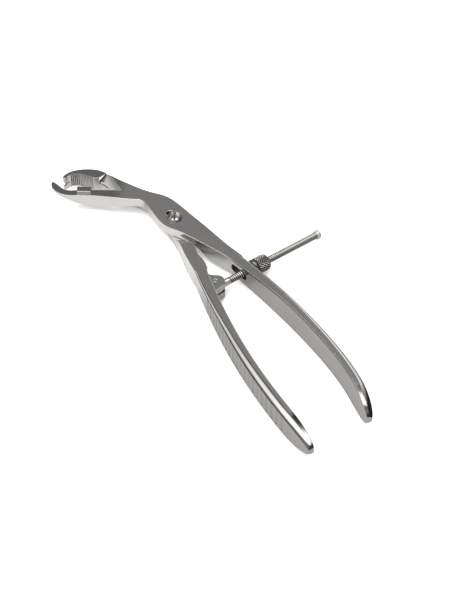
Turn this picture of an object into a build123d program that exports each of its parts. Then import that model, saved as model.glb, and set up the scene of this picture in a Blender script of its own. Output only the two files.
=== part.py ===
from build123d import *
import os
from math import cos, radians, sin, sqrt, tan

# Bone holding forceps lying flat. The pivot axis is the Z axis and the lock's underside is z = 0.
# +X runs from the pivot to the handles, and the jaws bend away from -X towards -Y.

# Lock: two plates, one on the other, on one screw in a slot of the upper one
plate_thickness = 5.3
lock_half_width = 9.2
screw_diameter = 4.8
screw_head_diameter = 8.4
screw_head_height = 1.3
driver_slot_width = 1.2
driver_slot_depth = 0.7
driver_slot_angle = 64.0
slip_travel = 5.0
slip_angle = 6.0
running_clearance = 0.05

# Jaws: side profiles are measured from the neck towards the tips
neck_x = -33.0
neck_y = -11.0
jaw_angle = 50.0
jaw_reach = 48.5
hook_reach = 54.0
jaw_top_drop = 1.0
jaw_bottom_rise = 0.7
hook_top_drop = 2.4
hook_tip_height = 1.5
hook_root_x = -38.8
hook_root_y = -16.7
ramp_slope = 27.0
ramp_turn = 4.0
neck_gap = 2.9
ramp_span = 30.0
lap_radius = 62.6
lap_gap = 0.5
serration_pitch = 1.15
serration_depth = 0.5
tip_notch_height = 3.0
tip_notch_depth = 3.7
tip_notch_rise = -0.9
pad_length = 8.6
pad_width = 4.8
pad_rise = 1.4
pad_reach = 1.5
pad_tooth_pitch = 1.1

# Handles
handle_width = 15.0
handle_thickness = 5.6
shank_thickness = 6.8
handle_reach = 188.5
facet_reach = 3.4
facet_drop = 1.9
groove_pitch = 4.9
groove_radius = 0.95
groove_depth = 0.6
groove_height = 10.6
groove_count = 20
groove_start = 30.0

# Locking rod, its hinge in the lug and the slot it passes through
lug_x = 62.0
lug_y = -5.0
clevis_slot = 2.1
eye_radius = 4.5
eye_thickness = 1.7
eye_gap = 0.4
hinge_pin_diameter = 2.6
rod_diameter = 4.4
rod_length = 75.0
rod_angle = 100.4
rod_shoulder = 5.9
rod_slot_height = 5.0
rod_slot_ahead = 9.1
rod_slot_behind = 4.6
button_diameter = 6.0
button_thickness = 2.4
spigot_diameter = 2.4
spigot_length = 4.0

# Nut with its domed seat ring
nut_diameter = 10.2
nut_length = 9.0
nut_chamfer = 0.6
seat_diameter = 10.0
seat_dome_radius = 7.0
seat_thickness = 2.9
seat_gap = 0.25

seam = plate_thickness
lock_height = 2 * plate_thickness


def seam_plane(rise=0.0):
    return Plane.XY.offset(seam + rise)


def jaw_side_plane():
    """Upright plane along the jaws: X towards the tips, Y up, Z towards the back of the hook."""
    heading = Vector(-cos(radians(jaw_angle)), -sin(radians(jaw_angle)), 0)
    return Plane(origin=(neck_x, neck_y, seam), x_dir=heading, z_dir=heading.cross(Vector(0, 0, 1)))


def ramp_plane():
    """Plane across the ramp at the hook's root: X into the mouth, Y up, Z along the ramp's upper edge."""
    edge = Vector(-cos(radians(ramp_turn)), sin(radians(ramp_turn)), 0)
    return Plane(origin=(hook_root_x, hook_root_y, lock_height), x_dir=Vector(0, 0, 1).cross(edge), z_dir=edge)


def handle_section(place, heading, side, half_height, thickness, facet):
    """Section across a handle: flat inner face, narrow outer face, sloping facets between."""
    plane = Plane(origin=(place.X, place.Y, seam), x_dir=(-heading.Y * side, heading.X * side, 0),
                  z_dir=(heading.X, heading.Y, 0))
    inner = -thickness / 2
    outer = thickness / 2
    brow = outer - facet_reach * facet
    shoulder = half_height - facet_drop * facet
    with BuildSketch(plane) as section:
        with BuildLine():
            Polyline(
                (inner, -half_height),
                (brow, -half_height),
                (outer, -shoulder),
                (outer, shoulder),
                (brow, half_height),
                (inner, half_height),
                close=True,
            )
        make_face()
    return section.sketch


def smooth(share):
    share = min(max(share, 0.0), 1.0)
    return share * share * (3 - 2 * share)


def handle_sections(path, side):
    """Sections along a handle, widening from the shank and rounding off at the tip."""
    stations = [(count / 14, 0.0) for count in range(12)]
    stations += [(0.83 + 0.17 * sin(radians(turn)), turn) for turn in (14, 30, 46, 60, 72, 82, 88)]
    sections = []
    for share, turn in stations:
        grown = smooth(share / 0.42)
        half_height = plate_thickness + (handle_width / 2 - plate_thickness) * grown
        thickness = shank_thickness + (handle_thickness - shank_thickness) * grown
        rounding = cos(radians(turn))
        facet = 0.3 + 0.7 * smooth(share / 0.8)
        sections.append(handle_section(
            path @ share, path % share, side, half_height * (0.1 + 0.9 * rounding),
            thickness * (0.4 + 0.6 * rounding), facet * (0.25 + 0.75 * rounding),
        ))
    return sections


def groove_places(path, side):
    """Centres of the grip grooves, just outside the handle's outer face."""
    places = []
    for count in range(groove_count):
        share = (groove_start + count * groove_pitch) / path.length
        place = path @ share
        heading = path % share
        outward = Vector(-heading.Y, heading.X) * side
        centre = place + outward * (handle_thickness / 2 + groove_radius - groove_depth)
        places.append((centre.X, centre.Y))
    return places


# Centre lines of the two handles, from the shank to the tip
with BuildLine() as right_line:
    Spline((46, 14.4), (80, 20.2), (125, 24.2), (160, 23.0), (handle_reach - 2, 16.4))
with BuildLine() as left_line:
    Spline((46, -7.2), (80, -14.2), (125, -20.0), (160, -21.0), (handle_reach + 2, -19.6))
right_path = right_line.edges()[0]
left_path = left_line.edges()[0]
right_sections = handle_sections(right_path, 1)
left_sections = handle_sections(left_path, -1)

# The rod's axis, and where it crosses the right handle
rod_heading = Vector(cos(radians(rod_angle)), sin(radians(rod_angle)), 0)
hinge_centre = Vector(lug_x, lug_y, seam)
handle_crossing = 21.25
seat_start = handle_crossing + shank_thickness / 2 + seat_gap + 0.23


def rod_plane(distance):
    """Plane across the rod at a distance from its hinge: X along the handle, Y down."""
    return Plane(origin=hinge_centre + rod_heading * distance, x_dir=(rod_heading.Y, -rod_heading.X, 0),
                 z_dir=rod_heading)


# The hook's root at the mouth, and the lower half's edge along its neck
hook_root = (hook_root_x, hook_root_y)
neck_edge = [(-20, -5.2), (-28, -8.2), (-36, -12.5), (-44, -17), (-52, -20.8)]

# Hook of the slotted half: arm, hook and serrated pad, tapering in height to the tip
with BuildPart() as hook:
    with BuildSketch(Plane.XY):
        with BuildLine():
            Spline((-26.5, -11.6), (-29, -16), (-35.6, -24.2), (-44.8, -35.5), (-49.4, -42.6),
                   (-53.8, -48.1), (-58.5, -51), (-64.5, -52.1), (-70, -50.6))
            ThreePointArc((-70, -50.6), (-70.7, -49.8), (-69.9, -49.1))
            Spline((-69.9, -49.1), (-66.6, -48.1), (-60.6, -46.9), (-56.6, -44.4), (-54.7, -40.8),
                   (-48.4, -30.5), (-45.0, -25.3), (-41.7, -20.1), hook_root)
            Line(hook_root, (-26.5, -11.6))
        make_face()
    extrude(amount=lock_height)
    with BuildSketch(jaw_side_plane()):
        with BuildLine():
            Polyline(
                (-20, 0),
                (-20, plate_thickness),
                (8.4, plate_thickness),
                (hook_reach, plate_thickness - hook_top_drop),
                (hook_reach, plate_thickness - hook_top_drop - hook_tip_height),
                (47, 1.5),
            )
            Spline((47, 1.5), (40, 0), (34, -2.1), (28, -3.5), (21, -3.8), (12, -2), (5, 0))
            Line((5, 0), (-20, 0))
        make_face()
    extrude(amount=60, both=True, mode=Mode.INTERSECT)
    # The lower half's neck passes under the root of the arm, and swings towards it as the jaws close
    with BuildSketch(Plane.XY):
        with BuildLine():
            Polyline(*[(x, y - neck_gap) for x, y in neck_edge], (-52, 10), (-20, 10), close=True)
        make_face()
    extrude(amount=seam, mode=Mode.SUBTRACT)

# Serrated pad on the hook's inner side, raised above the arm
pad_start = Vector(-50.0, -32.2)
pad_heading = Vector(-0.5, -0.866)
pad_inward = Vector(-0.866, 0.5)
with BuildPart() as hook_pad:
    pad_centre = pad_start + pad_heading * (pad_length / 2) + pad_inward * (pad_reach - pad_width / 2)
    pad_plane = Plane(origin=(pad_centre.X, pad_centre.Y, seam - 3.6), x_dir=(pad_heading.X, pad_heading.Y, 0),
                      z_dir=(0, 0, 1))
    with BuildSketch(pad_plane):
        Rectangle(pad_length, pad_width)
    extrude(amount=3.6 + plate_thickness - 1.3 + pad_rise)
    # V grooves run up the pad's gripping face
    with BuildSketch(pad_plane):
        with Locations((0, -pad_width / 2)):
            with GridLocations(pad_tooth_pitch, 0, 7, 1):
                Rectangle(0.66, 0.66, rotation=45)
    extrude(amount=20, mode=Mode.SUBTRACT)

# Slotted half: upper plate, hooked jaw and right handle
with BuildPart() as right_shank:
    # Shank that grows from the upper plate down to the full height of the handle
    with BuildSketch(Plane.XY):
        with BuildLine():
            Spline((50, 18.9), (37, 15.9), (24, 13.7))
            Line((24, 13.7), (24, 1.5))
            Spline((24, 1.5), (36, 6.8), (50, 11.8))
            Line((50, 11.8), (50, 18.9))
        make_face()
    extrude(amount=lock_height)
    with BuildSketch(Plane.XZ.offset(-30)):
        with BuildLine():
            Polyline((60, 0), (60, lock_height), (20, lock_height), (20, seam), (24.5, seam))
            Spline((24.5, seam), (31, 1.9), (39, 0), tangents=((1, -0.35), (1, 0)))
            Line((39, 0), (60, 0))
        make_face()
    extrude(amount=60, mode=Mode.INTERSECT)

with BuildPart() as hooked_half:
    with BuildSketch(seam_plane()):
        with BuildLine():
            Spline((50, 18.9), (37, 15.9), (17.5, 12.9), (0, 9.9), (-14, 7.4), (-22, 4.4), (-30, -1.9),
                   (-42.3, -9.3), (-52, -14.2), (-60.2, -17.2))
            ThreePointArc((-60.2, -17.2), (-59.4, -19.9), (-58.3, -22.8))
            Spline((-58.3, -22.8), (-54.2, -21.0), (-48.0, -19.6), (-43.7, -18.2), hook_root)
            Line(hook_root, (-26.5, -11.6))
            Spline((-26.5, -11.6), (-24.0, -9.9), (-20, -lock_half_width), (-1, -lock_half_width),
                   (4.5, -8.2), (13, -3.5), (26.7, 2.7), (38, 7.4), (50, 11.8))
            Line((50, 11.8), (50, 18.9))
        make_face()
    extrude(amount=plate_thickness)
    # Bright ramp that falls into the mouth along the end of the plate
    with BuildSketch(ramp_plane()):
        with BuildLine():
            Polyline((0, 0), (ramp_span, 0), (ramp_span, -ramp_span * tan(radians(ramp_slope))), close=True)
        make_face()
    extrude(amount=ramp_span, mode=Mode.SUBTRACT)
    add(hook.part)
    add(hook_pad.part)
    add(right_shank.part)
    loft(sections=right_sections)
    # Shallow cross grooves down the outer face
    with BuildSketch(seam_plane(-groove_height / 2)):
        with Locations(*groove_places(right_path, 1)):
            Circle(groove_radius)
    extrude(amount=groove_height, mode=Mode.SUBTRACT)
    # Slot that lets the screw shift when the jaws open wide
    with BuildSketch(seam_plane(-1)):
        with Locations(Location((-slip_travel / 2 * cos(radians(slip_angle)),
                                 -slip_travel / 2 * sin(radians(slip_angle)), 0), (0, 0, slip_angle))):
            SlotCenterToCenter(slip_travel, screw_diameter + 2 * running_clearance)
    extrude(amount=plate_thickness + 2, mode=Mode.SUBTRACT)
    # Slot the locking rod passes through and swings in
    with BuildSketch(rod_plane(handle_crossing - 12)):
        with Locations(((rod_slot_behind - rod_slot_ahead) / 2, 0)):
            SlotOverall(rod_slot_ahead + rod_slot_behind, rod_slot_height)
    extrude(amount=24, mode=Mode.SUBTRACT)

# Broad jaw: crescent plan, inner teeth and forked tip
with BuildPart() as broad_jaw:
    with BuildSketch(Plane.XY):
        with BuildLine():
            Spline((-52, -14.2), (-60.2, -17.2), (-64, -18.9), (-67.9, -22.1), (-71.9, -28.5), (-73.4, -35.0),
                   (-72.6, -39.7), (-71.0, -42.2))
            ThreePointArc((-71.0, -42.2), (-69.7, -42.9), (-69.0, -41.6))
            gripping_edge = Spline((-69.0, -41.6), (-70.3, -38.8), (-70.2, -36), (-68.3, -32.4), (-64.8, -29.6),
                                   (-61.4, -26.9), (-58.3, -22.9))
            Spline((-58.3, -22.9), (-52, -20.8))
            Line((-52, -20.8), (-52, -14.2))
        make_face()
    extrude(amount=lock_height)
    with BuildSketch(jaw_side_plane()):
        with BuildLine():
            Polyline(
                (0, plate_thickness),
                (jaw_reach + 5, plate_thickness - jaw_top_drop - 0.2),
                (jaw_reach + 5, -plate_thickness + jaw_bottom_rise),
                (20, -plate_thickness),
                (0, -plate_thickness),
                close=True,
            )
        make_face()
    extrude(amount=60, both=True, mode=Mode.INTERSECT)
    # The end of the upper plate sweeps round just inside the jaw's shoulder
    with BuildSketch(seam_plane()):
        Circle(lap_radius + lap_gap)
    extrude(amount=plate_thickness, mode=Mode.SUBTRACT)
    # Upright V teeth along the gripping edge
    tooth_places = []
    gripping_length = gripping_edge.length
    serration_count = int(0.6 * gripping_length / serration_pitch)
    for count in range(serration_count + 1):
        share = 0.2 + count * serration_pitch / gripping_length
        place = gripping_edge @ share
        heading = gripping_edge % share
        tooth_places.append(Location(
            (place.X, place.Y, 0), (0, 0, Vector(1, 0, 0).get_signed_angle(heading, Vector(0, 0, 1)))
        ))
    with BuildSketch(Plane.XY):
        with Locations(*tooth_places):
            Rectangle(serration_depth * sqrt(2), serration_depth * sqrt(2), rotation=45)
    extrude(amount=lock_height, mode=Mode.SUBTRACT)
    # Notch across the tip that leaves it forked
    with BuildSketch(jaw_side_plane()):
        with BuildLine():
            Polyline(
                (jaw_reach - tip_notch_depth, tip_notch_rise),
                (jaw_reach + tip_notch_depth, tip_notch_rise + tip_notch_height),
                (jaw_reach + tip_notch_depth, tip_notch_rise - tip_notch_height),
                close=True,
            )
        make_face()
    extrude(amount=60, both=True, mode=Mode.SUBTRACT)

# Raised part of the left shank: it climbs from the seam beside the upper plate
with BuildPart() as left_shank:
    with BuildSketch(seam_plane()):
        with BuildLine():
            Polyline((13.2, -6.3), (24.5, -1.1), (28, -0.6), (37, -3.0))
            Spline((37, -3.0), (43, -2.6), (50, -3.8))
            Line((50, -3.8), (50, -11.6))
            Spline((50, -11.6), (39.7, -10.6), (31.3, -9.3), (22.1, -7.3), (13.2, -6.3))
        make_face()
    extrude(amount=plate_thickness)
    with BuildSketch(Plane.XZ.offset(-30)):
        with BuildLine():
            Line((60, seam - 1), (12, seam - 1))
            Line((12, seam - 1), (13.2, seam))
            Spline((13.2, seam), (22, seam + 3.6), (38, lock_height), tangents=((1, 0.75), (1, 0.08)))
            Polyline((38, lock_height), (60, lock_height), (60, seam - 1))
        make_face()
    extrude(amount=60, mode=Mode.INTERSECT)

# Broad half: lower plate, crescent jaw, left handle and the lug for the rod
with BuildPart() as broad_half:
    with BuildSketch(Plane.XY):
        with BuildLine():
            Spline((-52, -14.2), (-42.3, -9.3), (-30, -1.9), (-22, 4.4), (-14, 7.4), (-5, 8.8), (3, 8.5),
                   (10, 6.0), (18, 2.6), (24.5, -1.1), (30, -1.6), (37, -3.0), (43, -2.6), (50, -3.8))
            Line((50, -3.8), (50, -11.6))
            Spline((50, -11.6), (39.7, -10.6), (31.3, -9.3), (22.1, -7.3), (12.3, -6.1), (2.2, -5.2),
                   (-10, -4.8), *neck_edge)
            Line((-52, -20.8), (-52, -14.2))
        make_face()
    extrude(amount=plate_thickness)
    add(broad_jaw.part)
    add(left_shank.part)
    loft(sections=left_sections)
    # Shallow cross grooves down the outer face
    with BuildSketch(seam_plane(-groove_height / 2)):
        with Locations(*groove_places(left_path, -1)):
            Circle(groove_radius)
    extrude(amount=groove_height, mode=Mode.SUBTRACT)
    # Lug that stands out towards the other handle
    with BuildSketch(Plane.XY):
        with BuildLine():
            Spline((lug_x - 6.8, lug_y - 0.6), (lug_x - 4.9, lug_y + 1.2), (lug_x - 2.3, lug_y + 4.6),
                   (lug_x + 1.6, lug_y + 5.1), (lug_x + 4.4, lug_y + 3.4))
            Polyline((lug_x + 4.4, lug_y + 3.4), (lug_x + 6.6, lug_y - 4), (lug_x + 6.2, lug_y - 8),
                     (lug_x - 6.8, lug_y - 4), (lug_x - 6.8, lug_y - 0.6))
        make_face()
    extrude(amount=lock_height)
    # Slot in the lug for the flat eye of the rod, open at the nose and at the side towards the tips
    with BuildSketch(seam_plane(-clevis_slot / 2)):
        with Locations((lug_x, lug_y)):
            Circle(eye_radius + eye_gap)
        with Locations((lug_x - eye_radius - eye_gap, lug_y)):
            Rectangle(2 * eye_radius + 8, 8, align=(Align.MIN, Align.MIN))
        with Locations((lug_x, lug_y - 2.8)):
            Rectangle(eye_radius + 6, 8, align=(Align.MIN, Align.MIN))
    extrude(amount=clevis_slot, mode=Mode.SUBTRACT)
    with Locations((lug_x, lug_y, 0)):
        Hole(hinge_pin_diameter / 2, depth=lock_height * 2)
    Hole(screw_diameter / 2 + running_clearance, depth=lock_height * 2)

# Screw of the lock, its head above the upper plate and its tail flush with the underside
with BuildPart() as pivot_screw:
    with BuildSketch(Plane.XY):
        Circle(screw_diameter / 2)
    extrude(amount=lock_height)
    with BuildSketch(Plane.XY.offset(lock_height)):
        Circle(screw_head_diameter / 2)
    extrude(amount=screw_head_height)
    chamfer(pivot_screw.edges().group_by(Axis.Z)[-1], length=0.35)
    chamfer(pivot_screw.edges().group_by(Axis.Z)[0], length=0.3)
    with BuildSketch(Plane.XY.offset(lock_height + screw_head_height - driver_slot_depth)):
        Rectangle(driver_slot_width, screw_head_diameter + 1, rotation=driver_slot_angle)
    extrude(amount=driver_slot_depth, mode=Mode.SUBTRACT)

# Pin through both cheeks of the lug
with BuildPart() as rod_hinge_pin:
    with BuildSketch(Plane.XY.offset(0)):
        with Locations((lug_x, lug_y)):
            Circle(hinge_pin_diameter / 2)
    extrude(amount=lock_height)
    chamfer(rod_hinge_pin.edges().filter_by(GeomType.CIRCLE), length=0.2)

# Locking rod: flat eye, round threaded length
with BuildPart() as threaded_rod:
    with BuildSketch(rod_plane(rod_shoulder)):
        Circle(rod_diameter / 2)
    extrude(amount=rod_length - rod_shoulder)
    chamfer(threaded_rod.faces().sort_by(SortBy.AREA)[0].edges(), length=0.3)
    with BuildSketch(seam_plane(-eye_thickness / 2)):
        with Locations((lug_x, lug_y)):
            Circle(eye_radius)
        middle = hinge_centre + rod_heading * (rod_shoulder + 2) / 2
        with Locations(Location((middle.X, middle.Y, 0), (0, 0, rod_angle))):
            Rectangle(rod_shoulder + 2, 4.0)
    extrude(amount=eye_thickness)
    with Locations((lug_x, lug_y, 0)):
        Hole(hinge_pin_diameter / 2 + running_clearance, depth=lock_height * 2)
    # Bore for the button's spigot
    with BuildSketch(rod_plane(rod_length - spigot_length)):
        Circle(spigot_diameter / 2)
    extrude(amount=spigot_length, mode=Mode.SUBTRACT)

# Button that keeps the nut on the rod
with BuildPart() as rod_end_button:
    with BuildSketch(rod_plane(rod_length)):
        Circle(button_diameter / 2)
    extrude(amount=button_thickness)
    chamfer(rod_end_button.edges(), length=0.35)
    with BuildSketch(rod_plane(rod_length - spigot_length)):
        Circle(spigot_diameter / 2)
    extrude(amount=spigot_length)

# Seat ring: its dome faces the slotted handle
rod_axis = Axis(hinge_centre, rod_heading)
rod_side_plane = Plane(origin=hinge_centre, x_dir=rod_heading, z_dir=rod_heading.cross(Vector(0, 0, 1)))
bore_radius = rod_diameter / 2 + running_clearance
seat_radius = seat_diameter / 2
seat_end = seat_start + seat_thickness


def dome_depth(radius):
    """How far the dome has fallen back from its crown at a radius."""
    return seat_dome_radius - sqrt(seat_dome_radius ** 2 - radius ** 2)


with BuildPart() as nut_seat_washer:
    with BuildSketch(rod_side_plane):
        with BuildLine():
            middle_radius = (bore_radius + seat_radius) / 2
            ThreePointArc(
                (seat_start + dome_depth(bore_radius), bore_radius),
                (seat_start + dome_depth(middle_radius), middle_radius),
                (seat_start + dome_depth(seat_radius), seat_radius),
            )
            Polyline(
                (seat_start + dome_depth(seat_radius), seat_radius),
                (seat_end, seat_radius),
                (seat_end, bore_radius),
                (seat_start + dome_depth(bore_radius), bore_radius),
            )
        make_face()
    revolve(axis=rod_axis)

# Knurled nut that draws the handles together
with BuildPart() as knurled_nut:
    with BuildSketch(rod_side_plane):
        with BuildLine():
            Polyline(
                (seat_end, bore_radius),
                (seat_end, nut_diameter / 2 - nut_chamfer),
                (seat_end + nut_chamfer, nut_diameter / 2),
                (seat_end + nut_length - nut_chamfer, nut_diameter / 2),
                (seat_end + nut_length, nut_diameter / 2 - nut_chamfer),
                (seat_end + nut_length, bore_radius),
                close=True,
            )
        make_face()
    revolve(axis=rod_axis)

os.makedirs("parts", exist_ok=True)

hooked_half.part.label = "hooked_half"
export_step(hooked_half.part, "parts/hooked_half.step")
broad_half.part.label = "broad_half"
export_step(broad_half.part, "parts/broad_half.step")
pivot_screw.part.label = "pivot_screw"
export_step(pivot_screw.part, "parts/pivot_screw.step")
rod_hinge_pin.part.label = "rod_hinge_pin"
export_step(rod_hinge_pin.part, "parts/rod_hinge_pin.step")
threaded_rod.part.label = "threaded_rod"
export_step(threaded_rod.part, "parts/threaded_rod.step")
rod_end_button.part.label = "rod_end_button"
export_step(rod_end_button.part, "parts/rod_end_button.step")
nut_seat_washer.part.label = "nut_seat_washer"
export_step(nut_seat_washer.part, "parts/nut_seat_washer.step")
knurled_nut.part.label = "knurled_nut"
export_step(knurled_nut.part, "parts/knurled_nut.step")
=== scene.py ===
"""Bone holding forceps in satin stainless steel: the looks of the solid model, laid out as an add-on."""

from math import cos, pi, radians, sin

import bmesh
import bpy
from bpy.props import FloatProperty, FloatVectorProperty, IntProperty, PointerProperty
from bpy.types import NodeSocket, Operator, Panel, PropertyGroup
from mathutils import Matrix, Vector


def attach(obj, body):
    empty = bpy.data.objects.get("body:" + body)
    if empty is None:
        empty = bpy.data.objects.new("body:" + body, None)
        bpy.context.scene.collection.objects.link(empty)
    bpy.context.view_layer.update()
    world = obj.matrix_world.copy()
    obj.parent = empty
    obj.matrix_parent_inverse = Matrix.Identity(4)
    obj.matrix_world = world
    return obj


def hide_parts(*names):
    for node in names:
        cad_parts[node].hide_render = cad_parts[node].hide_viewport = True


bl_info = {
    "name": "Bone Holding Forceps",
    "version": (1, 0, 0),
    "blender": (4, 5, 0),
    "location": "View3D > Sidebar > Forceps",
    "description": "Dresses a pair of bone holding forceps in ground and satin steel",
    "category": "Object",
}

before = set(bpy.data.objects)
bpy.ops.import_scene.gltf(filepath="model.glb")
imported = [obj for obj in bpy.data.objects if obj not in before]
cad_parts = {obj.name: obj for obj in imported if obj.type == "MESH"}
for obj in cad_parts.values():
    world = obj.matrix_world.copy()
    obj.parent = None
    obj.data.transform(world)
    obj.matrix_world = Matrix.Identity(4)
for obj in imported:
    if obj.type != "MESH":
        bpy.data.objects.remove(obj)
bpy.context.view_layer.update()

# Places in the solid model, in metres
SEAM = 0.0053
UP = Vector((0, 0, 1))
HINGE = Vector((0.062, -0.005, SEAM))
ROD_ANGLE = radians(100.4)
ROD_HEADING = Vector((cos(ROD_ANGLE), sin(ROD_ANGLE), 0))
ROD_SHOULDER = 0.0095
NECK = Vector((-0.033, -0.011, SEAM))
JAW_ANGLE = radians(230)
JAW_HEADING = Vector((cos(JAW_ANGLE), sin(JAW_ANGLE), 0))
# Where the handles start, reach their full depth and full facets, and round off at their tips
HANDLE_START = 0.046
HANDLE_FULL = 0.107
FACET_FULL = 0.163
HANDLE_TIP = (0.167, 0.192)
HANDLE_DEPTH = 0.015
FACET_DROP = 0.0019
# Shares of the full facet at the handle's start, and of the full sizes at its very tip
FACET_START_SHARE = 0.3
TIP_DEPTH_SHARE = 0.1
TIP_FACET_SHARE = 0.25
SCREW_RADIUS = 0.0042
NUT_START = 0.02803
NUT_LENGTH = 0.009
NUT_RADIUS = 0.0051
NUT_BORE = 0.00225
NUT_CHAMFER = 0.0008
NUT_RIM = 0.0005
KNURL_MARGIN = 0.0007
# How far the thread stays inside the solid rod, and how far it reaches into the plain shank
THREAD_CLEARANCE = 0.00002
THREAD_OVERLAP = 0.001
MERGE = 1e-7
SOLID_MERGE = 1e-6
CUT_MERGE = 1e-8
NEAR = 1e-5

# Edges: widths, and the (start, end) of the stretches over which they widen
PLATE_EDGE = 0.0007
THREAD_EDGE = 0.0001
KNURL_EDGE = 0.00008
PLATE_EDGE_X = (-0.052, -0.046)
PLATE_EDGE_Z = (0.0085, 0.0090)
HANDLE_EDGE_X = (0.055, 0.08)
HANDLE_EDGE_Z = (0.0107, 0.0111)

# Painted shade on the jaws, for how the light falls on them: how far past the neck their tops darken, how
# high the ramp's painted gradient lies
NECK_FADE = (0.004, 0.014)
JAW_TOP_PAINTED_SHADE = 0.62
RAMP_HEIGHTS = (0.0080, 0.0106)
RAMP_FOOT_SHARE = 0.2
RAMP_PAINTED_SHADE = 0.36
# How far a face looks up, from 0 on a wall to 1 on a flat top
JAW_WALL_LIFT = (0.6, 0.75)
JAW_TOP_LIFT = (0.93, 0.985)
HANDLE_WALL_LIFT = (0.3, 0.4)
HANDLE_FACET_LIFT = (0.5, 0.6)
HANDLE_TOP_LIFT = (0.96, 0.985)
# Painted reflection lines on the handles, for the dark room mirrored in their rounded edges: grey from the
# facet's upper edge at 0 to its lower edge at 1, and a dark brink at the top of their walls
FACET_PAINTED_REFLECTION = ((0, 0.10), (0.12, 0.12), (0.28, 0.9), (0.6, 1), (0.74, 0.5), (0.85, 0.08), (1, 0.08))
LINES_FADE = 0.008
TIP_LINES = (0.05, 0.2)
BRINK = (0.0007, 0.0010)
BRINK_PAINTED_REFLECTION = 0.1
# Painted shade rings on the screw's head, a dark ring for the shadow in the recess round it, as (radius,
# grey)
SCREW_PAINTED_SHADE_RINGS = ((0, 1), (0.0030, 1), (0.0032, 0.25), (0.0035, 0.25), (0.0037, 1), (SCREW_RADIUS, 1))
# Painted shade in grooves, seams and corners from ambient occlusion: (reach, grey) on the steel and on the
# screw, and the occlusion that spans dark to light
CREVICE_PAINTED_SHADE = (0.001, 0.4)
SCREW_PAINTED_SHADE = (0.002, 0.05)
CREVICE_SHADE = (0.55, 0.95)
# The steel's fine grain, its clouds of tone and its wear marks, as noise
GRAIN_SCALE = 2600
GRAIN_TURN = radians(8)
GRAIN_STRETCH = (0.10, 1, 1)
GRAIN_GREY = 0.975
CLOUD_SCALE = 70
CLOUD_SHARE = 0.95
MARK_SCALE = 420
NOISE_MIDDLE = (0.3, 0.7)

# The stage
FLOOR_Z = -0.0022
FLOOR_GAP = 0.0001
FLOOR_SIZE = 6
FLOOR_GLOW = 0.26
# The floor as the steel mirrors it: the stretch along X over which it dims, and its two levels
FLOOR_DIM_X = (0.035, 0.07)
FLOOR_LEVELS = (0.80, 0.42)
TOP_LIGHT = 2.2
TOP_LIGHT_SPREAD = radians(60)
TOP_LIGHT_LEAN = radians(4)
# The room's light: a dim level, and soft patches as (direction, inner and outer half angle, strength)
ROOM_COLOUR = (0.8, 0.8, 0.8, 1)
ROOM_LEVEL = 0.36
ROOM_LIGHT = (
    ((-0.66, -0.42, 0.62), 12, 27, 1.0),
    ((-0.20, -0.72, 0.66), 14, 32, 2.2),
    ((0.45, -0.45, 0.77), 12, 30, 2.4),
    ((-0.66, 0.75, 0.03), 14, 30, 1.1),
    ((-0.60, -0.80, -0.05), 16, 36, -0.34),
    ((-0.66, -0.02, 0.75), 4, 17, -0.26),
    ((0.80, -0.60, 0.20), 20, 90, 0.5),
)
CAMERA_TARGET = Vector((0.073591, -0.005138, SEAM))
CAMERA_PLACE = Vector((0.500094, -0.231913, 0.440235))
CAMERA_LENS = 70.32
CAMERA_SENSOR = 36
WHITE = (1, 1, 1, 1)

# What the properties of one kind have in common
LENGTH = {"subtype": "DISTANCE", "unit": "LENGTH", "precision": 5}
COLOUR = {"subtype": "COLOR", "min": 0, "max": 1}


class ForcepsSizes(PropertyGroup):
    """Sizes of the threads, the knurl and the edges"""

    thread_pitch: FloatProperty(
        name="Thread pitch", description="Distance between two threads of the rod",
        default=0.00125, min=0.0005, max=0.002, **LENGTH)
    thread_depth: FloatProperty(
        name="Thread depth", description="Depth of the rod's thread",
        default=0.00042, min=0.0001, max=0.0008, **LENGTH)
    rod_radius: FloatProperty(
        name="Rod radius", description="Outer radius of the rod's thread",
        default=0.0022, min=0.0015, max=0.003, **LENGTH)
    rod_length: FloatProperty(
        name="Rod length", description="From the hinge to the button",
        default=0.075, min=0.05, max=0.09, **LENGTH)
    knurl_columns: IntProperty(
        name="Knurl columns", description="Points in each row round the nut", default=20, min=12, max=60)
    knurl_rows: IntProperty(
        name="Knurl rows", description="Rows of points along the nut", default=9, min=5, max=31)
    knurl_depth: FloatProperty(
        name="Knurl depth", description="Height of the knurl's points",
        default=0.00042, min=0.0001, max=0.0006, **LENGTH)
    screw_dome: FloatProperty(
        name="Screw dome", description="Height of the dome of the lock's screw",
        default=0.001, min=0, max=0.0012, **LENGTH)
    edge_width: FloatProperty(
        name="Edge width", description="Width of the broken edges",
        default=0.0003, min=0.00005, max=0.0005, **LENGTH)
    handle_edge_width: FloatProperty(
        name="Handle edge width", description="Width of the rounding of the handles' upper edges",
        default=0.0009, min=0.0001, max=0.002, **LENGTH)


class ForcepsColours(PropertyGroup):
    """Colours of the finishes"""

    steel: FloatVectorProperty(
        name="Steel", description="Satin stainless steel", default=(0.60, 0.585, 0.565), **COLOUR)
    screw_steel: FloatVectorProperty(
        name="Screw steel", description="Polished head of the lock's screw",
        default=(0.85, 0.84, 0.82), **COLOUR)
    turned_steel: FloatVectorProperty(
        name="Turned steel", description="Nut, rod and button", default=(0.80, 0.78, 0.74), **COLOUR)
    dark_steel: FloatVectorProperty(
        name="Dark steel", description="Darkened seat ring", default=(0.20, 0.20, 0.195), **COLOUR)
    floor: FloatVectorProperty(
        name="Floor", description="Pale floor", default=(0.93, 0.93, 0.93), **COLOUR)


# Finishes

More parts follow.
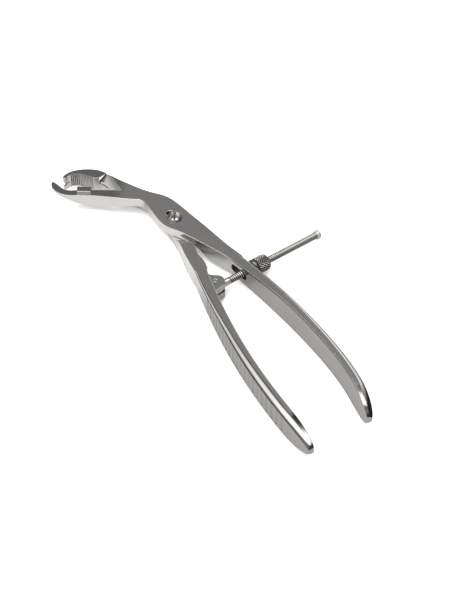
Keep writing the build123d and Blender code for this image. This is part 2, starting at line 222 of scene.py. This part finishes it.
class Nodes:
    """The nodes of one material or of the room, with a short call for each kind that is used.

    An input is given as another node's output, which is linked, or as a constant.
    """

    def __init__(self, tree):
        self.tree = tree
        tree.nodes.clear()

    def feed(self, node, inputs):
        """Gives a node's inputs, by name or number, their links and constants."""
        for name, value in inputs.items():
            if isinstance(value, NodeSocket):
                self.tree.links.new(value, node.inputs[name])
            else:
                node.inputs[name].default_value = value

    def add(self, kind, inputs=None, **settings):
        node = self.tree.nodes.new("ShaderNode" + kind)
        for name, value in settings.items():
            setattr(node, name, value)
        self.feed(node, inputs or {})
        return node

    def reckon(self, operation, first, second=0.0):
        """Sum, difference, product and the like of two values."""
        return self.add("Math", {0: first, 1: second}, operation=operation).outputs["Value"]

    def aim(self, operation, first, second=(0, 0, 0), output="Vector"):
        """Difference, product, length and the like of vectors."""
        return self.add("VectorMath", {0: first, 1: second}, operation=operation).outputs[output]

    def parts(self, vector):
        """The X, Y and Z of a vector."""
        return self.add("SeparateXYZ", {"Vector": vector}).outputs

    def mapped(self, value, low, high, to_low=0.0, to_high=1.0, smooth=False):
        """The value's range from low to high spread over to_low to to_high, held at its ends."""
        inputs = {"Value": value, "From Min": low, "From Max": high, "To Min": to_low, "To Max": to_high}
        shape = "SMOOTHSTEP" if smooth else "LINEAR"
        return self.add("MapRange", inputs, interpolation_type=shape).outputs["Result"]

    def ramp(self, value, stops):
        """Colour from (position, colour or grey) stops."""
        node = self.add("ValToRGB", {"Fac": value})
        elements = node.color_ramp.elements
        while len(elements) < len(stops):
            elements.new(0.5)
        for element, (position, colour) in zip(elements, stops):
            if isinstance(colour, (int, float)):
                colour = (colour, colour, colour)
            element.position = position
            element.color = (*colour, 1)
        return node.outputs["Color"]

    def mix(self, factor, first, second, data_type="RGBA", blend_type="MIX"):
        """From the first colour or value at factor 0 to the second at 1."""
        inputs = {"Factor": factor, "A": first, "B": second}
        return self.add("Mix", inputs, data_type=data_type, blend_type=blend_type).outputs["Result"]

    def multiply(self, first, second):
        """Product of two colours or of a colour and a value."""
        return self.mix(1, first, second, blend_type="MULTIPLY")

    def noise(self, vector, scale, detail, roughness=0.5):
        inputs = {"Vector": vector, "Scale": scale, "Detail": detail, "Roughness": roughness}
        return self.add("TexNoise", inputs).outputs["Fac"]

    def object_position(self):
        return self.add("TexCoord").outputs["Object"]

    def lift(self):
        """How far a face looks up: the Z of its normal."""
        return self.parts(self.add("NewGeometry").outputs["Normal"])["Z"]


def new_material(name):
    material = bpy.data.materials.new(name)
    material.use_nodes = True
    nodes = Nodes(material.node_tree)
    shader = nodes.add("BsdfPrincipled")
    nodes.add("OutputMaterial", {"Surface": shader.outputs["BSDF"]})
    return material, nodes, shader


def painted_crevice_shade(nodes, reach, grey):
    """Painted shade in grooves, seams and corners, where ambient occlusion finds them."""
    shade = nodes.add("AmbientOcclusion", {"Distance": reach}, samples=8)
    dark, light = CREVICE_SHADE
    return nodes.ramp(shade.outputs["AO"], ((dark, grey), (light, 1)))


def jaw_painted_shade(nodes, position):
    """Painted shade past the neck: grey on the jaws' up-facing tops and a gradient up the slope of the ramp.
    """
    offset = nodes.aim("SUBTRACT", position, NECK)
    past_neck = nodes.mapped(nodes.aim("DOT_PRODUCT", offset, JAW_HEADING, "Value"), *NECK_FADE, smooth=True)
    lift = nodes.lift()
    flat = nodes.mapped(lift, *JAW_TOP_LIFT)
    tops = nodes.ramp(nodes.reckon("MULTIPLY", past_neck, flat), ((0, 1), (1, JAW_TOP_PAINTED_SHADE)))
    sloped = nodes.mapped(lift, *JAW_TOP_LIFT, 1, 0)
    not_steep = nodes.mapped(lift, *JAW_WALL_LIFT)
    share = nodes.mapped(nodes.parts(position)["Z"], *RAMP_HEIGHTS, RAMP_FOOT_SHARE, 1, smooth=True)
    for factor in (sloped, not_steep, past_neck):
        share = nodes.reckon("MULTIPLY", share, factor)
    return nodes.multiply(tops, nodes.ramp(share, ((0, 1), (1, RAMP_PAINTED_SHADE))))


def handle_painted_reflections(nodes, position):
    """Painted reflection: dark lines beside the handles' facets, standing in for the dark room mirrored in
    their rounded edges.
    """
    places = nodes.parts(position)
    along = places["X"]
    lift = nodes.lift()
    tip = nodes.mapped(along, *HANDLE_TIP)
    rounding = nodes.reckon("SQRT", nodes.reckon("SUBTRACT", 1, nodes.reckon("MULTIPLY", tip, tip)))
    half = nodes.mapped(along, HANDLE_START, HANDLE_FULL, SEAM, HANDLE_DEPTH / 2, smooth=True)
    half = nodes.reckon("MULTIPLY", half, nodes.mapped(rounding, 0, 1, TIP_DEPTH_SHARE, 1))
    drop = nodes.mapped(
        along, HANDLE_START, FACET_FULL, FACET_DROP * FACET_START_SHARE, FACET_DROP, smooth=True)
    drop = nodes.reckon("MULTIPLY", drop, nodes.mapped(rounding, 0, 1, TIP_FACET_SHARE, 1))
    below = nodes.reckon("SUBTRACT", nodes.reckon("ADD", half, SEAM), places["Z"])
    lines = nodes.ramp(nodes.reckon("DIVIDE", below, drop), FACET_PAINTED_REFLECTION)
    started = nodes.mapped(along, HANDLE_START, HANDLE_START + LINES_FADE)
    sloping = nodes.reckon(
        "MAXIMUM", nodes.mapped(lift, *HANDLE_TOP_LIFT, 1, 0), nodes.mapped(tip, *TIP_LINES))
    facet = nodes.reckon("MULTIPLY", nodes.mapped(lift, *HANDLE_FACET_LIFT), sloping)
    facet = nodes.reckon("MULTIPLY", facet, started)
    wall = nodes.reckon("MULTIPLY", nodes.mapped(lift, *HANDLE_WALL_LIFT, 1, 0), started)
    brink = nodes.reckon("MULTIPLY", nodes.mapped(below, *BRINK, 1, 0), wall)
    return nodes.multiply(nodes.mix(facet, WHITE, lines), nodes.ramp(brink, ((0, 1), (1, BRINK_PAINTED_REFLECTION))))


def turned_painted_shade(nodes, position, centre, axis, start, stops):
    """Painted shade in rings about an axis, from (radius, grey) stops, past a distance along it."""
    offset = nodes.aim("SUBTRACT", position, centre)
    radius = nodes.aim("LENGTH", nodes.aim("CROSS_PRODUCT", offset, axis), output="Value")
    outer = stops[-1][0]
    rings = nodes.ramp(nodes.mapped(radius, 0, outer), [(place / outer, grey) for place, grey in stops])
    past = nodes.reckon("GREATER_THAN", nodes.aim("DOT_PRODUCT", offset, axis, "Value"), start)
    return nodes.mix(past, WHITE, rings)


def groove_painted_shade(crest, depth, inner, dark_end, light_start):
    """Stops for painted shade in the grooves of a thread or knurl, leaving its crests light."""
    valley = crest - depth
    return ((0, 1), (valley * inner, 1), (valley, 0.03), (valley + depth * dark_end, 0.05),
            (valley + depth * light_start, 1), (crest, 1))


def half_edges(nodes, position, edge, handle_edge):
    """Width of a half's broken edges: wider on the plates' upper edges, widest on the handles'."""
    places = nodes.parts(position)
    plates = nodes.reckon("MULTIPLY", nodes.mapped(places["X"], *PLATE_EDGE_X),
                          nodes.mapped(places["Z"], *PLATE_EDGE_Z))
    handles = nodes.reckon("MULTIPLY", nodes.mapped(places["X"], *HANDLE_EDGE_X),
                           nodes.mapped(places["Z"], *HANDLE_EDGE_Z))
    width = nodes.reckon("ADD", nodes.reckon("MULTIPLY", plates, PLATE_EDGE - edge),
                         nodes.reckon("MULTIPLY", handles, handle_edge - PLATE_EDGE))
    return nodes.reckon("ADD", width, edge)


def steel_material(name, colour, roughness, edge, crevice=CREVICE_PAINTED_SHADE, rings=None, handle_edge=None):
    """Ground and satin steel: cloudy tone, fine grain, painted shade in crevices and broken edges.

    Rings of painted shade are added to a turned piece, and a handle's edge width marks a forged half: its
    grain is drawn out along it, and it has the painted shade of the jaws and the painted reflection lines of
    the handles.
    """
    material, nodes, shader = new_material(name)
    position = nodes.object_position()
    along_grain = position
    if handle_edge:
        turn = {"Vector": position, "Rotation": (0, 0, GRAIN_TURN), "Scale": GRAIN_STRETCH}
        along_grain = nodes.add("Mapping", turn).outputs["Vector"]
    grain = nodes.noise(along_grain, GRAIN_SCALE, detail=3)
    clouds = nodes.noise(position, CLOUD_SCALE, detail=3)
    marks = nodes.noise(position, MARK_SCALE, detail=4, roughness=0.6)
    dark = [channel * CLOUD_SHARE for channel in colour]
    # Grain, and painted shade in the crevices; rings of painted shade, the jaws' painted shade and the
    # handles' painted reflection lines are added below
    tones = [nodes.ramp(grain, ((0.25, GRAIN_GREY), (0.75, 1))), painted_crevice_shade(nodes, *crevice)]
    if rings:
        tones.append(turned_painted_shade(nodes, position, *rings))
    if handle_edge:
        tones += [jaw_painted_shade(nodes, position), handle_painted_reflections(nodes, position)]
        edge = half_edges(nodes, position, edge, handle_edge)
    base = nodes.ramp(clouds, ((0.32, dark), (0.68, colour)))
    for tone in tones:
        base = nodes.multiply(base, tone)
    broken_edge = nodes.add("Bevel", {"Radius": edge}, samples=6)
    relief = nodes.add("Bump", {
        "Strength": 0.03, "Distance": 0.00002, "Height": grain, "Normal": broken_edge.outputs["Normal"]})
    marked = nodes.mapped(marks, *NOISE_MIDDLE, roughness - 0.015, roughness + 0.02)
    grained = nodes.mapped(grain, *NOISE_MIDDLE, -0.01, 0.01)
    nodes.feed(shader, {
        "Base Color": base, "Metallic": 1, "Roughness": nodes.reckon("ADD", marked, grained),
        "Normal": relief.outputs["Normal"]})
    return material


def set_material(obj, material):
    """The material on every face of the piece."""
    if not obj.data.materials:
        obj.data.materials.append(material)
    for index in range(len(obj.data.materials)):
        obj.data.materials[index] = material


# Shapes

def new_piece(name, bm, smooth_angle=35):
    """A finished mesh object with its place in its mesh."""
    bmesh.ops.remove_doubles(bm, verts=bm.verts, dist=MERGE)
    bmesh.ops.recalc_face_normals(bm, faces=bm.faces)
    mesh = bpy.data.meshes.new(name)
    bm.to_mesh(mesh)
    bm.free()
    # The solid's stored normals are dropped, since they smear across its sharp edges
    stored = mesh.attributes.get("custom_normal")
    if stored:
        mesh.attributes.remove(stored)
    obj = bpy.data.objects.new(name, mesh)
    bpy.context.scene.collection.objects.link(obj)
    mesh.shade_smooth()
    mesh.set_sharp_from_angle(angle=radians(smooth_angle))
    return obj


def merged_copy(node):
    """The solid's loose triangles joined into one skin."""
    bm = bmesh.new()
    bm.from_mesh(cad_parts[node].data)
    bmesh.ops.remove_doubles(bm, verts=bm.verts, dist=SOLID_MERGE)
    return bm


def along_rod(distance):
    """Matrix that stands a shape made about +Z on the rod, at a distance from its hinge."""
    turn = ROD_HEADING.to_track_quat("Z", "Y").to_matrix().to_4x4()
    return Matrix.Translation(HINGE + ROD_HEADING * distance) @ turn


def cut_off(bm, place, heading):
    """Takes away what lies past a place in a heading, and closes the cut."""
    cut = bmesh.ops.bisect_plane(
        bm, geom=bm.verts[:] + bm.edges[:] + bm.faces[:], dist=CUT_MERGE, plane_co=place,
        plane_no=heading, clear_outer=True)
    rim = [item for item in cut["geom_cut"] if isinstance(item, bmesh.types.BMEdge)]
    bmesh.ops.holes_fill(bm, edges=rim, sides=0)


def spin_about_z(bm, outline, closed=False, **settings):
    """Spins an outline of (radius, height) corners about +Z."""
    corners = [bm.verts.new((radius, 0, height)) for radius, height in outline]
    pairs = zip(corners, corners[1:] + corners[:1] if closed else corners[1:])
    edges = [bm.edges.new(pair) for pair in pairs]
    bmesh.ops.spin(
        bm, geom=corners + edges, cent=(0, 0, 0), axis=UP, use_duplicate=False, **settings)


def thread_skin(pitch, radius, depth, length, steps=20):
    """A threaded bar about +Z from z = 0 to length, closed at both ends."""
    # One thread from valley to valley, as (depth below the crest, place in pitches)
    ridge = ((depth, -2), (depth * 0.12, -1.58), (0, -1.5), (depth * 0.12, -1.42), (depth, -1))
    turns = int(length / pitch) + 4
    bm = bmesh.new()
    spin_about_z(
        bm, [(radius - below, place * pitch) for below, place in ridge], dvec=(0, 0, pitch / steps),
        angle=2 * pi * turns, steps=turns * steps, use_merge=False)
    bmesh.ops.remove_doubles(bm, verts=bm.verts, dist=MERGE)
    cut_off(bm, Vector(), -UP)
    cut_off(bm, UP * length, UP)
    return bm


def rod_skin(sizes):
    """The solid rod up to its shoulder, and its thread from there on."""
    bm = merged_copy("threaded_rod")
    cut_off(bm, HINGE + ROD_HEADING * ROD_SHOULDER, ROD_HEADING)
    thread = thread_skin(
        sizes.thread_pitch, sizes.rod_radius - THREAD_CLEARANCE, sizes.thread_depth,
        sizes.rod_length - ROD_SHOULDER + THREAD_OVERLAP)
    bmesh.ops.transform(thread, matrix=along_rod(ROD_SHOULDER - THREAD_OVERLAP), verts=thread.verts)
    mesh = bpy.data.meshes.new("thread part")
    thread.to_mesh(mesh)
    thread.free()
    bm.from_mesh(mesh)
    bpy.data.meshes.remove(mesh)
    return bm


def nut_skin(sizes):
    """The nut with chamfered ends and rows of small pyramids round its side."""
    columns = 2 * sizes.knurl_columns
    rows = sizes.knurl_rows
    valley = NUT_RADIUS - sizes.knurl_depth
    end_radius = NUT_RADIUS - NUT_CHAMFER
    step = (NUT_LENGTH - 2 * KNURL_MARGIN) / (rows - 1)
    outline = [(NUT_BORE, 0), (end_radius, 0), (valley, NUT_RIM)]
    outline += [(valley, KNURL_MARGIN + step * row) for row in range(rows)]
    outline += [(valley, NUT_LENGTH - NUT_RIM), (end_radius, NUT_LENGTH), (NUT_BORE, NUT_LENGTH)]
    bm = bmesh.new()
    spin_about_z(bm, outline, closed=True, angle=2 * pi, steps=columns, use_merge=True)
    # Every other crossing stands out, which leaves rows of small pyramids
    for vert in bm.verts:
        ring = vert.co.xy
        row = round((vert.co.z - KNURL_MARGIN) / step)
        if ring.length < valley - NEAR or not 0 < row < rows - 1:
            continue
        column = round(ring.angle_signed(Vector((1, 0))) / (2 * pi) * columns)
        if (row + column) % 2 == 0:
            vert.co.x, vert.co.y = ring.normalized() * NUT_RADIUS
    bmesh.ops.connect_verts_concave(bm, faces=bm.faces)
    side = [face for face in bm.faces if face.calc_center_median().xy.length > NUT_RADIUS * 0.9]
    bmesh.ops.triangulate(bm, faces=side, quad_method="SHORT_EDGE")
    bmesh.ops.transform(bm, matrix=along_rod(NUT_START), verts=bm.verts)
    return bm


def screw_skin(sizes):
    """The lock's screw with its flat top made a low dome."""
    bm = merged_copy("pivot_screw")
    top = max(vert.co.z for vert in bm.verts) - NEAR
    flat = [edge for edge in bm.edges if all(vert.co.z > top for vert in edge.verts)]
    bmesh.ops.subdivide_edges(bm, edges=flat, cuts=5, use_grid_fill=True)
    for vert in bm.verts:
        if vert.co.z > top:
            vert.co.z -= sizes.screw_dome * (vert.co.xy.length / SCREW_RADIUS) ** 2
    return bm


def finish(obj, node, body, material):
    """The piece stands for its solid, moves with its body and wears its material."""
    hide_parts(node)
    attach(obj, body)
    set_material(obj, material)


class FORCEPS_OT_halves(Operator):
    """Dress the two forged halves in ground and satin steel"""

    bl_idname = "forceps.halves"
    bl_label = "Halves"

    def execute(self, context):
        sizes = context.scene.forceps_sizes
        colours = context.scene.forceps_colours
        for node, body in (("hooked_half", "hooked_body"), ("broad_half", "broad_body")):
            steel = steel_material(
                f"{node} satin steel", colours.steel, roughness=0.22, edge=sizes.edge_width,
                handle_edge=sizes.handle_edge_width)
            skin = new_piece(f"{node}_skin", merged_copy(node), smooth_angle=24)
            finish(skin, node, body, steel)
        return {"FINISHED"}


class FORCEPS_OT_lock(Operator):
    """Dress the lock's screw and the rod's hinge pin"""

    bl_idname = "forceps.lock"
    bl_label = "Lock"

    def execute(self, context):
        sizes = context.scene.forceps_sizes
        colours = context.scene.forceps_colours
        # A painted shadow ring on the screw's head, and strong painted shade in its crevices
        polished = steel_material(
            "polished screw steel", colours.screw_steel, roughness=0.14, edge=sizes.edge_width,
            crevice=SCREW_PAINTED_SHADE, rings=(Vector(), UP, 0, SCREW_PAINTED_SHADE_RINGS))
        screw = new_piece("pivot_screw_skin", screw_skin(sizes), smooth_angle=30)
        finish(screw, "pivot_screw", "screw_body", polished)
        set_material(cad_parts["rod_hinge_pin"], steel_material(
            "turned pin steel", colours.steel, roughness=0.26, edge=sizes.edge_width))
        return {"FINISHED"}


class FORCEPS_OT_rod(Operator):
    """Cut the thread of the locking rod and dress the rod and its button"""

    bl_idname = "forceps.rod"
    bl_label = "Locking rod"

    def execute(self, context):
        sizes = context.scene.forceps_sizes
        colours = context.scene.forceps_colours
        # Painted shade in the thread's grooves, past the rod's shoulder
        rings = groove_painted_shade(sizes.rod_radius, sizes.thread_depth, inner=0.8, dark_end=0.5, light_start=0.8)
        turned = steel_material(
            "turned rod steel", colours.turned_steel, roughness=0.24, edge=THREAD_EDGE,
            rings=(HINGE, ROD_HEADING, ROD_SHOULDER, rings))
        rod = new_piece("locking_rod", rod_skin(sizes), smooth_angle=30)
        finish(rod, "threaded_rod", "rod_body", turned)
        set_material(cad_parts["rod_end_button"], steel_material(
            "button steel", colours.turned_steel, roughness=0.28, edge=sizes.edge_width))
        return {"FINISHED"}


class FORCEPS_OT_nut(Operator):
    """Knurl the nut and dress it and its seat ring"""

    bl_idname = "forceps.nut"
    bl_label = "Knurled nut"

    def execute(self, context):
        sizes = context.scene.forceps_sizes
        colours = context.scene.forceps_colours
        # Painted shade in the knurl's valleys
        rings = groove_painted_shade(NUT_RADIUS, sizes.knurl_depth, inner=0.93, dark_end=0.4, light_start=0.65)
        knurled = steel_material(
            "knurled steel", colours.turned_steel, roughness=0.24, edge=KNURL_EDGE,
            rings=(HINGE, ROD_HEADING, 0, rings))
        nut = new_piece("knurled_nut_skin", nut_skin(sizes), smooth_angle=20)
        finish(nut, "knurled_nut", "nut_body", knurled)
        set_material(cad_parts["nut_seat_washer"], steel_material(
            "dark seat steel", colours.dark_steel, roughness=0.22, edge=sizes.edge_width))
        return {"FINISHED"}


class FORCEPS_OT_stage(Operator):
    """Set the pale floor, the soft studio light and the camera"""

    bl_idname = "forceps.stage"
    bl_label = "Stage"

    def execute(self, context):
        self.lay_floor(context.scene.forceps_colours)
        self.light_room(context)
        self.hang_top_light(context)
        self.aim_camera(context)
        context.scene.view_settings.view_transform = "Standard"
        return {"FINISHED"}

    def lay_floor(self, colours):
        """A pale floor that looks white to the camera and dimmer where the steel mirrors it."""
        bm = bmesh.new()
        bmesh.ops.create_grid(bm, x_segments=1, y_segments=1, size=FLOOR_SIZE)
        bmesh.ops.translate(bm, vec=UP * (FLOOR_Z - FLOOR_GAP), verts=bm.verts)
        floor = new_piece("floor", bm)
        material, nodes, shader = new_material("pale floor")
        path = nodes.add("LightPath").outputs
        along = nodes.parts(nodes.object_position())["X"]
        mirrored = nodes.mapped(along, *FLOOR_DIM_X, *FLOOR_LEVELS, smooth=True)
        level = nodes.mix(path["Is Glossy Ray"], 1, mirrored, "FLOAT")
        nodes.feed(shader, {
            "Base Color": nodes.multiply((*colours.floor, 1), level),
            "Roughness": 0.8,
            "Specular IOR Level": 0.1,
            "Emission Color": WHITE,
            "Emission Strength": nodes.mix(path["Is Camera Ray"], 0, FLOOR_GLOW, "FLOAT"),
        })
        set_material(floor, material)

    def light_room(self, context):
        """White to the camera, and a dim room with soft patches of light to the object."""
        world = bpy.data.worlds.new("studio")
        context.scene.world = world
        world.use_nodes = True
        nodes = Nodes(world.node_tree)
        heading = nodes.add("TexCoord").outputs["Generated"]
        strength = ROOM_LEVEL
        for direction, inner, outer, amount in ROOM_LIGHT:
            toward = nodes.aim("DOT_PRODUCT", heading, Vector(direction).normalized(), "Value")
            patch = nodes.mapped(toward, cos(radians(outer)), cos(radians(inner)), 0, amount, smooth=True)
            strength = nodes.reckon("ADD", patch, strength)
        room = nodes.add("Background", {"Color": ROOM_COLOUR, "Strength": strength})
        white = nodes.add("Background", {"Color": WHITE, "Strength": 1})
        both = nodes.add("MixShader", {
            "Fac": nodes.add("LightPath").outputs["Is Camera Ray"],
            1: room.outputs["Background"], 2: white.outputs["Background"]})
        nodes.add("OutputWorld", {"Surface": both.outputs["Shader"]})

    def hang_top_light(self, context):
        data = bpy.data.lights.new("top light", "SUN")
        data.energy = TOP_LIGHT
        data.angle = TOP_LIGHT_SPREAD
        light = bpy.data.objects.new("top light", data)
        light.rotation_euler = (0, TOP_LIGHT_LEAN, 0)
        context.scene.collection.objects.link(light)

    def aim_camera(self, context):
        data = bpy.data.cameras.new("camera")
        data.sensor_fit = "AUTO"
        data.sensor_width = CAMERA_SENSOR
        data.lens = CAMERA_LENS
        data.clip_start = 0.01
        data.clip_end = 30
        camera = bpy.data.objects.new("camera", data)
        camera.location = CAMERA_PLACE
        camera.rotation_euler = (CAMERA_TARGET - CAMERA_PLACE).to_track_quat("-Z", "Y").to_euler()
        context.scene.collection.objects.link(camera)
        context.scene.camera = camera


class FORCEPS_PT_panel(Panel):
    """Sizes, colours and pieces of the forceps"""

    bl_idname = "FORCEPS_PT_panel"
    bl_label = "Bone Holding Forceps"
    bl_space_type = "VIEW_3D"
    bl_region_type = "UI"
    bl_category = "Forceps"

    def draw(self, context):
        layout = self.layout
        for group in (context.scene.forceps_sizes, context.scene.forceps_colours):
            box = layout.box()
            for name in group.__annotations__:
                box.prop(group, name)
        column = layout.column(align=True)
        for operator in OPERATORS:
            column.operator(operator.bl_idname)


OPERATORS = (FORCEPS_OT_halves, FORCEPS_OT_lock, FORCEPS_OT_rod, FORCEPS_OT_nut, FORCEPS_OT_stage)
CLASSES = (ForcepsSizes, ForcepsColours, *OPERATORS, FORCEPS_PT_panel)


def register():
    for cls in CLASSES:
        bpy.utils.register_class(cls)
    bpy.types.Scene.forceps_sizes = PointerProperty(type=ForcepsSizes)
    bpy.types.Scene.forceps_colours = PointerProperty(type=ForcepsColours)


def unregister():
    del bpy.types.Scene.forceps_colours
    del bpy.types.Scene.forceps_sizes
    for cls in reversed(CLASSES):
        bpy.utils.unregister_class(cls)


def main():
    register()
    bpy.ops.forceps.halves()
    bpy.ops.forceps.lock()
    bpy.ops.forceps.rod()
    bpy.ops.forceps.nut()
    bpy.ops.forceps.stage()


if __name__ == "__main__":
    main()
